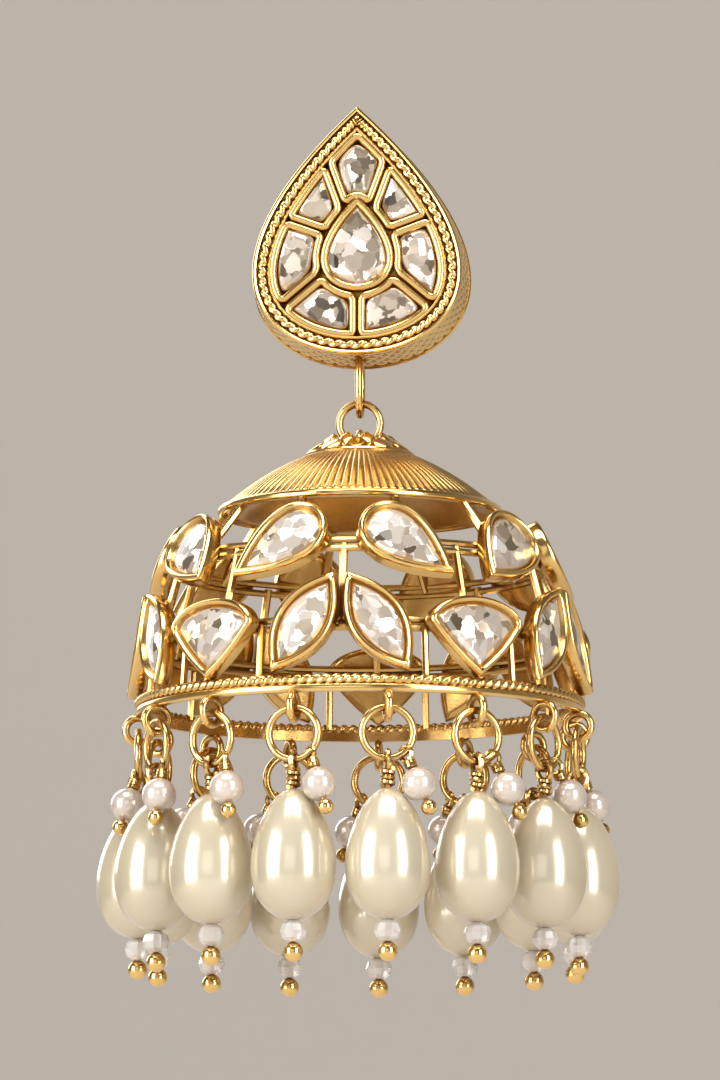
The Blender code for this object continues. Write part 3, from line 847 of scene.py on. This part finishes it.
# %% Stones of the stud
CELL_WALL = 0.6 * MM
CENTRE_LENGTH = 7.0 * MM
CENTRE_WIDTH = 5.3 * MM
CENTRE_ABOVE_POST = 0.7 * MM
STUD_RIBS = ((20.0, "upper_right"), (70.0, "top"), (110.0, "upper_left"), (160.0, "mid_left"),
             (220.0, "low_left"), (270.0, "low_right"), (320.0, "mid_right"))
PARALLEL = 1e-12
SLACK = 1e-9
SIDE_STEPS = 3
ARC_STEPS = 7
INNER_ARC_STEPS = 4
STONE_SINK = 0.6 * MM
STONE_LEAN = 0.25 * MM
GIRDLE_POINTS = 9
BEZEL_STEPS = ((-0.27, -1.0), (-0.27, -0.30), (-0.23, -0.16), (-0.15, -0.06), (-0.05, -0.01), (0.05, 0.0),
               (0.16, -0.03), (0.26, -0.10), (0.33, -0.20), (0.38, -0.34), (0.41, -1.0))


STUD_CENTRE = lifted(pear(CENTRE_LENGTH, CENTRE_WIDTH, 48), CENTRE_ABOVE_POST)
CENTRE = Vector((0, CENTRE_ABOVE_POST))


def reach(points, angle):
    """Distance from the stud's middle to an outline along an angle."""
    way = Vector((cos(angle), sin(angle)))
    best = 0.0
    for k, point in enumerate(points):
        a = points[k - 1] - CENTRE
        side = point - points[k - 1]
        across = way.x * side.y - way.y * side.x
        if abs(across) < PARALLEL:
            continue
        along_way = (a.x * side.y - a.y * side.x) / across
        along_side = (a.x * way.y - a.y * way.x) / across
        if along_way > 0 and -SLACK <= along_side <= 1 + SLACK:
            best = max(best, along_way)
    return best


def soft_sides(points, corners):
    """Adds points along the two straight sides, so that rounding only takes the corners."""
    arcs = [points[:corners[0]], points[corners[0]:]]
    closed = []
    for arc, after in zip(arcs, reversed(arcs)):
        closed += arc + [arc[-1].lerp(after[0], k / SIDE_STEPS) for k in range(1, SIDE_STEPS)]
    return closed


def cell_outline(start, end):
    """One cell: an arc of the field, an arc round the centre cell and two straight sides."""
    points = []
    corners = []
    for edge, extra, steps in ((STUD_FIELD, 0.0, ARC_STEPS), (STUD_CENTRE, CELL_WALL, INNER_ARC_STEPS)):
        clear = CELL_WALL / 2 / (reach(edge, (start + end) / 2) + extra)
        for k in range(steps):
            share = k / (steps - 1)
            share = share if edge is STUD_FIELD else 1 - share
            angle = start + clear + (end - start - 2 * clear) * share
            points.append(CENTRE + Vector((cos(angle), sin(angle))) * (reach(edge, angle) + extra))
        corners.append(len(points))
    return soft_sides(points, corners)


def cut_stone(girdle, low, rise, table, seed):
    """A stone with its girdle at a height, an uneven crown above it and a slightly domed table."""
    chance = random.Random(seed)
    lean = Vector((chance.uniform(-1, 1), chance.uniform(-1, 1))) * STONE_LEAN
    crown = ((0.97, 0.25), (0.62 + table / 2, 0.68), (0.14 + table, 0.90), (table / 2, 1.0))
    levels = [(girdle, low - STONE_SINK), (girdle, low)]
    for share, height in crown:
        shift = lean * (1 - share)
        levels.append(([point + shift for point in scaled(girdle, share)], low + rise * height))
    return stack(levels)


def bezel(outline, narrowed):
    """A closed strip of metal with a rounded top, standing round one stone of the stud."""
    return put(stack(stepped(outline, BEZEL_STEPS, STUD_DEPTH, narrowed), ring=True), FRONT)


def make_stud_stones():
    outlines = {"centre": inset(STUD_CENTRE, 0.02 * MM)}
    for k, (start, name) in enumerate(STUD_RIBS):
        end = STUD_RIBS[(k + 1) % len(STUD_RIBS)][0]
        if end < start:
            end += 360
        outlines[name] = rounded(cell_outline(radians(start), radians(end)), 3)
    bezels = []
    for seed, (name, outline) in enumerate(outlines.items()):
        narrowed = inset if name == "centre" else soft_inset
        bezels.append(bezel(outline, narrowed))
        girdle = narrowed(outline, 0.36 * MM)
        if name != "centre":
            girdle = rounded(girdle[::len(girdle) // GIRDLE_POINTS], 2)
        stone = cut_stone(girdle, STUD_DEPTH - 0.30 * MM, 0.30 * MM, 0.55, seed)
        # The stud's stones use the darker stone finish, which is painted shade.
        piece("stone_" + name, [put(stone, FRONT)], PAINTED_SHADE_STONE, "stud", ["stud_stone_" + name])
    piece("stud_bezels", bezels, GOLD, "stud")
    return len(outlines)


print("stud stones:", make_stud_stones())

# %% [markdown]
# The back of the stud carries a plain post, soldered on by a small foot, which goes
# through the ear. Its end is rounded, with a shallow groove that a push back clicks on
# to. It is turned from one profile along the post. The link is a ring of round wire,
# just large enough to join the stud's loop and the bell's eye with a little play.

# %% Ear post and link
POST_LENGTH = 11.0 * MM
POST_R = 0.45 * MM
FOOT_R = 1.6 * MM
FOOT_STEPS = ((0, -0.1), (1.0, -0.1), (1.0, 0.55), (0.85, 0.75))
PIN_STEPS = ((1.0, 2.0), (0.75, 1.8), (0.75, 1.5), (1.0, 1.3), (1.0, 0.5), (0.7, 0.12), (0, 0))


def make_post():
    """The foot's steps are counted from the stud's back, and the pin's from its far end."""
    profile = [(FOOT_R * share, height * MM) for share, height in FOOT_STEPS]
    profile += [(POST_R * 1.6, 0.9 * MM), (POST_R, 1.2 * MM)]
    profile += [(POST_R * share, POST_LENGTH - back * MM) for share, back in PIN_STEPS]
    backwards = Matrix.Rotation(-pi / 2, 4, "X")
    return piece("post", [put(lathe(profile, 32), backwards)], GOLD, "stud", ["ear_post"])


def make_link():
    radius = (LOOP_BOTTOM_Z + 2 * WIRE_R + SEAT_GAP - LINK_BOTTOM_Z) / 2
    link = wire_ring(radius, WIRE_R, 48, 12, at(LINK_BOTTOM_Z + radius, HANG_Y) @ FRONT)
    return piece("link", [link], GOLD, "link", ["link_ring"])


print("made", make_post().name, "and", make_link().name)

# %% [markdown]
# The bell hangs from an eye that stands in a small flower of petals. Below it spreads
# the cone, pressed into fine ribs that run from the flower to a smooth bright lip. The
# cone is a turned profile whose radius ripples with the angle: a rounded ridge and a
# sharp valley, fading out at both ends. The inside of the cone is plain.

# %% Cone and flower
RIBS = 100
RIB_DEPTH = 0.40
CONE_TOP_R = 4.1 * MM
COLLAR_R = 3.5 * MM
COLLAR_HEIGHT = 1.2 * MM
CAP_WALL = 0.9 * MM
CONE_ROWS = 14
CONE_SWELL = 0.35 * MM
RIB_STEPS = 8
RIB_FADE_TOP = 0.12
RIB_FADE_LIP = 0.08
BELL_TOP = BELL_HEIGHT + CONE_HEIGHT
PETALS = 10
# turn in petals; distance from the axis, height, length and width in mm; lean in degrees
PETAL_ROWS = ((0.0, 3.30, 0.42, 2.3, 1.75, 56), (0.5, 2.70, 0.85, 1.8, 1.25, 42))
PETAL_STEPS = ((0.0, -0.15), (0.0, 0.10), (0.12, 0.24), (0.30, 0.30))


def make_cone():
    outer = []
    for k in range(CONE_ROWS + 1):
        s = k / CONE_ROWS
        radius = CONE_TOP_R + (BELL_LIP_R - CONE_TOP_R) * s
        slope = BELL_HEIGHT + WIRE_R + (CONE_HEIGHT - WIRE_R) * (1 - s)
        outer.append((radius, slope + CONE_SWELL * sin(pi * s)))
    inner = [(BELL_LIP_R, BELL_HEIGHT), (BELL_LIP_R - CAP_WALL * 0.6, BELL_HEIGHT - WIRE_R / 2),
             (BELL_LIP_R - CAP_WALL, BELL_HEIGHT), (CONE_TOP_R - CAP_WALL, BELL_TOP - CAP_WALL),
             (0, BELL_TOP - CAP_WALL)]
    profile = [(0, BELL_TOP)] + outer + inner

    def ripple(angle, row):
        s = (row - 1) / CONE_ROWS
        if not 0 < s < 1:
            return 0
        fade = min(1, s / RIB_FADE_TOP, (1 - s) / RIB_FADE_LIP)
        pitch = 2 * pi * outer[row - 1][0] / RIBS
        return RIB_DEPTH * pitch * fade * (abs(sin(RIBS * angle / 2)) ** 0.8 - 0.7)

    cone = put(lathe(profile, RIBS * RIB_STEPS, ripple), above_rim(0))
    piece("cone", [cone], GOLD_SATIN, "bell", crisp=70)


def petal(azimuth, radius, height, length, width, lean):
    out = at(RIM_Z + BELL_TOP + height * MM, -radius * MM)
    place = around(azimuth) @ out @ Matrix.Rotation(radians(-lean), 4, "X") @ FRONT
    return put(stack(stepped(leaf(length * MM, width * MM, 20), PETAL_STEPS, 0)), place)


def collar():
    """A low dish with a rolled lip, on which the petals lie."""
    dish = COLLAR_R / MM - 1.1
    cone = CONE_TOP_R / MM
    profile = ((0, 0), (dish * 0.8, 0.02), (dish, 0.3), (dish, 0.9),
               (dish + 0.25, COLLAR_HEIGHT / MM - 0.1), (dish + 0.5, 0.9), (COLLAR_R / MM, 0.25),
               (cone - 0.1, 0.10), (cone, -0.05), (cone - 0.3, -0.4), (0, -0.4))
    return put(lathe([(radius * MM, height * MM) for radius, height in profile], 80), above_rim(BELL_TOP))


def make_flower():
    parts = [wire_ring(BELL_LIP_R + 0.05 * MM, 0.36 * MM, 128, 10, above_rim(BELL_HEIGHT + 0.05 * MM))]
    for k in range(PETALS):
        for shift, *size in PETAL_ROWS:
            parts.append(petal(2 * pi / PETALS * (k + shift), *size))
    parts.append(collar())
    parts.append(wire_ring(EYE_R, WIRE_R * 0.95, 32, 10, at(LINK_BOTTOM_Z, HANG_Y) @ SIDEWAYS))
    parts.append(wire_ring(CONE_TOP_R, 0.16 * MM, 80, 8, above_rim(BELL_TOP)))
    piece("bell_flower", parts, GOLD, "bell")
    return len(parts)


make_cone()
print("cone with", RIBS, "ribs and", make_flower(), "parts in the flower")

# %% [markdown]
# The wall of the bell is all settings. Two rows of them stand on a curved frame: pears
# above, and below them pairs of leaves with a fan between. The pattern repeats five
# times. Each setting is a cup with a closed, slightly domed back, a rounded outer edge,
# a groove, and a thin lip pressed over the stone. One function stacks all of that from
# its outline, so a leaf, a pear and a fan are made the same way. Each cup is placed by
# a frame that leans with the wall, so that its stone faces straight out of the bell.

# %% Settings and stones of the bell
SETTING_UNIT = min(BELL_HEIGHT, 2 * pi * BELL_RIM_R / 7)
SETTING_REACH = 0.18
UPPER_ROW = 0.72
LOWER_ROW = 0.32
PEAR_ANGLE = 19.2
LEAF_ANGLE = 9.6
FAN_ANGLE = 36.0
# row, outline, length and width in setting units, azimuth, height as a share of the bell, turn
SETTINGS = (
    ("upper", pear, 0.535, 0.344, -PEAR_ANGLE, UPPER_ROW, 130.0),
    ("upper", pear, 0.535, 0.344, PEAR_ANGLE, UPPER_ROW, -130.0),
    ("lower", leaf, 0.573, 0.287, -LEAF_ANGLE, LOWER_ROW, -31.5),
    ("lower", leaf, 0.573, 0.287, LEAF_ANGLE, LOWER_ROW, 31.5),
    ("fan", fan, 0.400, 0.520, FAN_ANGLE, 0.265, 0.0),
)
CUP_STEPS = ((0.70, -1.00), (0.25, -0.92), (0.03, -0.70), (0.0, -0.40), (0.0, 0.12), (0.04, 0.32),
             (0.13, 0.45), (0.26, 0.50), (0.39, 0.45), (0.48, 0.32), (0.52, 0.16), (0.57, 0.09),
             (0.64, 0.13), (0.70, 0.06), (0.72, -0.30))
STONE_INSET = 0.64 * MM


def bell_radius(height):
    share = min(height / BELL_HEIGHT, 1.0)
    return BELL_LIP_R + (BELL_RIM_R - BELL_LIP_R) * sqrt(1 - share ** 2)


def on_bell(azimuth, height, turn):
    """Frame of a flat setting: x to the right, y up the wall and z out of the bell."""
    half = SETTING_UNIT * SETTING_REACH
    low_r, high_r = bell_radius(height - half), bell_radius(height + half)
    out = at(RIM_Z + height, -(low_r + high_r) / 2)
    lean = Matrix.Rotation(-atan2(low_r - high_r, 2 * half), 4, "X")
    return around(azimuth) @ out @ lean @ FRONT @ Matrix.Rotation(turn, 4, "Z")


def every_setting():
    """Each setting's name, outline function, length and width, and frame."""
    counts = {}
    for repeat in range(REPEATS):
        for row, shape, length, width, azimuth, height, turn in SETTINGS:
            counts[row] = counts.get(row, 0) + 1
            name = f"{row}_{counts[row]:02d}"
            angle = radians(azimuth) + repeat * 2 * pi / REPEATS
            place = on_bell(angle, height * BELL_HEIGHT, radians(turn))
            yield name, shape, (length * SETTING_UNIT, width * SETTING_UNIT), place


def make_settings():
    cups = []
    for seed, (name, shape, size, place) in enumerate(every_setting()):
        cups.append(put(stack(stepped(shape(*size, 48), CUP_STEPS, 0)), place))
        girdle = inset(shape(*size, 40), STONE_INSET)
        stone = put(cut_stone(girdle, 0.06 * MM, 0.32 * MM, 0.5, seed), place)
        piece("stone_" + name, [stone], STONE, "bell", ["bell_stone_" + name])
    piece("bell_settings", cups, GOLD, "bell", ["bell"])
    return len(cups)


print("settings on the bell:", make_settings())

# %% [markdown]
# Behind the settings runs the frame that carries them: two double hoops, short uprights
# from the lip of the cone, and bars between the rows, all of round wire soldered where
# they meet. The bottom is a plain band with a twisted wire round its upper edge. The
# twist is the same swept wire as on the stud, with more turns.

# %% Frame and rim
HOOP_INSET = 1.3 * MM
HOOP_R = 0.27 * MM
HOOP_SPREAD = 0.33 * MM
UPRIGHT_R = 0.32 * MM
FOOT_BAR_R = 0.28 * MM
FOOT_BAR_INSET = 0.9 * MM
FOOT_BAR_ANGLE = 22.5
FOOT_BAR_LOW = 0.04
BAND_R = BELL_RIM_R - 0.12 * MM
BAND_WALL = 0.7 * MM
ROPE_R = 0.46 * MM
ROPE_TURNS = 146
TURN_STEPS = 8


def on_wall(azimuth, share, depth):
    """A point a depth behind the wall, at a share of the bell's height."""
    height = share * BELL_HEIGHT
    return around(azimuth) @ Vector((0, -(bell_radius(height) - depth), RIM_Z + height))


def make_frame():
    parts = []
    for share in (UPPER_ROW, LOWER_ROW):
        for shift in (-HOOP_SPREAD, HOOP_SPREAD):
            height = share * BELL_HEIGHT + shift
            parts.append(wire_ring(bell_radius(height) - HOOP_INSET, HOOP_R, 120, 8, above_rim(height)))
    for repeat in range(REPEATS):
        base = repeat * 2 * pi / REPEATS
        for degrees in (-PEAR_ANGLE, PEAR_ANGLE):
            a = base + radians(degrees)
            lip = around(a) @ Vector((0, -(BELL_LIP_R - 0.2 * MM), RIM_Z + BELL_HEIGHT))
            parts.append(bar(lip, on_wall(a, UPPER_ROW, HOOP_INSET), UPRIGHT_R))
        for degrees in (0.0, FAN_ANGLE):
            a = base + radians(degrees)
            ends = [on_wall(a, share, HOOP_INSET) for share in (UPPER_ROW, LOWER_ROW)]
            parts.append(bar(*ends, UPRIGHT_R))
        for degrees in (-FOOT_BAR_ANGLE, FOOT_BAR_ANGLE):
            a = base + radians(degrees)
            ends = [on_wall(a, share, FOOT_BAR_INSET) for share in (LOWER_ROW, FOOT_BAR_LOW)]
            parts.append(bar(*ends, FOOT_BAR_R))
    return parts


def make_band():
    """The plain band at the bottom, one closed ring of circles."""
    edge = 0.1 * MM
    section = ((BAND_R - BAND_WALL, -0.30), (BAND_R - edge, -0.30), (BAND_R, -0.15), (BAND_R, 0.15),
               (BAND_R - edge, 0.30), (BAND_R - BAND_WALL, 0.50))
    return put(stack([(oval(r, r, 180), height * MM) for r, height in section], ring=True), above_rim(0))


piece("bell_frame", make_frame() + [make_band()], GOLD, "bell")
rope = wire_ring(BELL_RIM_R - ROPE_R, ROPE_R, ROPE_TURNS * TURN_STEPS, ROPE_SIDES,
                 above_rim(0.64 * MM), twists=ROPE_TURNS, depth=ROPE_DEPTH)
piece("bell_rope", [rope], GOLD, "bell", crisp=60)
print("frame of 4 hoops and", 6 * REPEATS, "bars, and a rope of", ROPE_TURNS, "turns")

# %% [markdown]
# Fifteen drops hang round the rim. Each has an eyelet soldered under the band, a jump
# ring through it, and a pearl on a head pin: the pin's end is the gold ball at the
# bottom, and its top is bent round the ring and wound back on itself. A smaller pearl on
# its own pin hangs from the same ring, outside, in the gap to the next drop. The wire
# parts of one drop are one object, and the two pearls and the glass bead are three more,
# because each has a finish of its own.

# %% Drops
EYELET_R = 1.0 * MM
EYELET_Z = RIM_Z - 1.4 * MM
EYELET_CIRCLE_R = BELL_RIM_R - 0.35 * MM
JUMP_RING_R = 1.95 * MM
JUMP_RING_TOP_Z = EYELET_Z - EYELET_R + 2 * WIRE_R + SEAT_GAP
DROP_PITCH = 2 * pi * EYELET_CIRCLE_R / DROP_COUNT
PEARL_R = (DROP_PITCH - 0.7 * MM) / 2
PEARL_LENGTH = 10.0 * MM
PEARL_FULLNESS = 0.2
PEARL_ROWS = 30
PIN_NECK = 2.2 * MM
PIN_R = 0.22 * MM
COIL_STEPS = 14
SEED_R = 1.05 * MM
SEED_HEIGHT = 1.6 * MM
BALL_R = 0.75 * MM
SIDE_PEARL_R = 1.32 * MM
SIDE_BALL_R = 0.6 * MM
SIDE_LENGTH = 5.4 * MM
SIDE_ANGLE = radians(-48)
THIN_R = PIN_R * 0.85
RING_BOTTOM = -2 * JUMP_RING_R
PEARL_TOP = RING_BOTTOM - PIN_NECK
PEARL_BOTTOM = PEARL_TOP - PEARL_LENGTH
SEED_BOTTOM = PEARL_BOTTOM - SEED_HEIGHT


def pin(top, bottom, radius=PIN_R):
    return bar(Vector((0, 0, top)), Vector((0, 0, bottom)), radius)


def coil(radius, top, bottom, turns):
    count = int(turns * COIL_STEPS)
    points = []
    for k in range(count + 1):
        a = 2 * pi * k / COIL_STEPS
        points.append(Vector((radius * cos(a), radius * sin(a), top + (bottom - top) * k / count)))
    return wire(points, THIN_R, 6, closed=False)


def pearl_shape():
    """An egg turned round its pin: round at the top, widest below the middle."""
    turns = [pi * k / PEARL_ROWS for k in range(1, PEARL_ROWS)]
    widths = [sin(t) * (1 - PEARL_FULLNESS * cos(t)) for t in turns]
    profile = [(0, PEARL_TOP)]
    for t, width in zip(turns, widths):
        profile.append((PEARL_R * width / max(widths), PEARL_TOP - PEARL_LENGTH * (1 - cos(t)) / 2))
    return lathe(profile + [(0, PEARL_BOTTOM)], 48)


def drop_metal():
    """From the top: jump ring, the pin's loop, its wound neck, the pin itself and its ball."""
    coil_top = RING_BOTTOM - 0.75 * MM
    return [wire_ring(JUMP_RING_R, WIRE_R, 44, 10, at(-JUMP_RING_R) @ FRONT),
            put(wire(oval(0.62 * MM, 0.713 * MM, 28), PIN_R, 8), at(RING_BOTTOM - 0.15 * MM) @ SIDEWAYS),
            coil(0.40 * MM, coil_top, PEARL_TOP + 0.1 * MM, 3.5),
            pin(coil_top + 0.1 * MM, PEARL_TOP - 0.5 * MM),
            pin(PEARL_BOTTOM + 0.4 * MM, SEED_BOTTOM - 0.3 * MM),
            put(bead(BALL_R), at(SEED_BOTTOM - BALL_R))]


def seed_bead():
    """A small barrel of glass with ten flat sides."""
    profile = ((0, 0.5), (0.45, 0.5), (0.85, 0.32), (1.0, 0.0), (0.85, -0.32), (0.45, -0.5), (0, -0.5))
    shape = [(r * SEED_R, h * SEED_HEIGHT) for r, h in profile]
    return put(lathe(shape, 10), at(PEARL_BOTTOM - SEED_HEIGHT / 2))


def side_place():
    """Frame of the small pearl's pin: its top on the jump ring, z along the pin."""
    start = Vector((JUMP_RING_R * cos(SIDE_ANGLE), 0, JUMP_RING_R * (sin(SIDE_ANGLE) - 1)))
    end = Vector((DROP_PITCH * 0.47, -1.7 * MM, start.z - SIDE_LENGTH))
    lean = (start - end).normalized().to_track_quat("Z", "Y").to_matrix().to_4x4()
    return Matrix.Translation(start) @ lean


def side_metal():
    parts = [pin(-0.8 * MM, SIDE_BALL_R - SIDE_LENGTH, PIN_R * 0.8),
             put(bead(SIDE_BALL_R), at(SIDE_BALL_R - SIDE_LENGTH)),
             coil(0.32 * MM, -0.75 * MM, -1.35 * MM, 2.5),
             put(wire(oval(0.50 * MM, 0.55 * MM, 24), THIN_R, 8), at(-0.2 * MM) @ SIDEWAYS)]
    return [put(part, side_place()) for part in parts]


def side_pearl():
    return put(bead(SIDE_PEARL_R, 32, 20), side_place() @ at(-SIDE_LENGTH * 0.52))


def drop_place(k, height):
    return around(2 * pi * (k + 0.5) / DROP_COUNT) @ at(height, -EYELET_CIRCLE_R)


def make_drops():
    eyelets = []
    for k in range(DROP_COUNT):
        place = drop_place(k, JUMP_RING_TOP_Z)
        number = f"{k + 1:02d}"
        pearl = put(pearl_shape(), place)
        piece("pearl_" + number, [pearl], PEARL, "bell", ["pearl_drop_" + number])
        piece("small_pearl_" + number, [put(side_pearl(), place)], SMALL_PEARL, "bell")
        metal = [put(part, place) for part in drop_metal() + side_metal()]
        piece("drop_wire_" + number, metal, GOLD, "bell")
        piece("seed_" + number, [put(seed_bead(), place)], BEAD, "bell", crisp=None)
        eyelets.append(wire_ring(EYELET_R, WIRE_R, 32, 10, drop_place(k, EYELET_Z) @ SIDEWAYS))
    piece("eyelets", eyelets, GOLD, "bell")


make_drops()
print(f"{DROP_COUNT} drops, {DROP_PITCH / MM:.2f} mm apart, pearls {2 * PEARL_R / MM:.2f} mm wide")
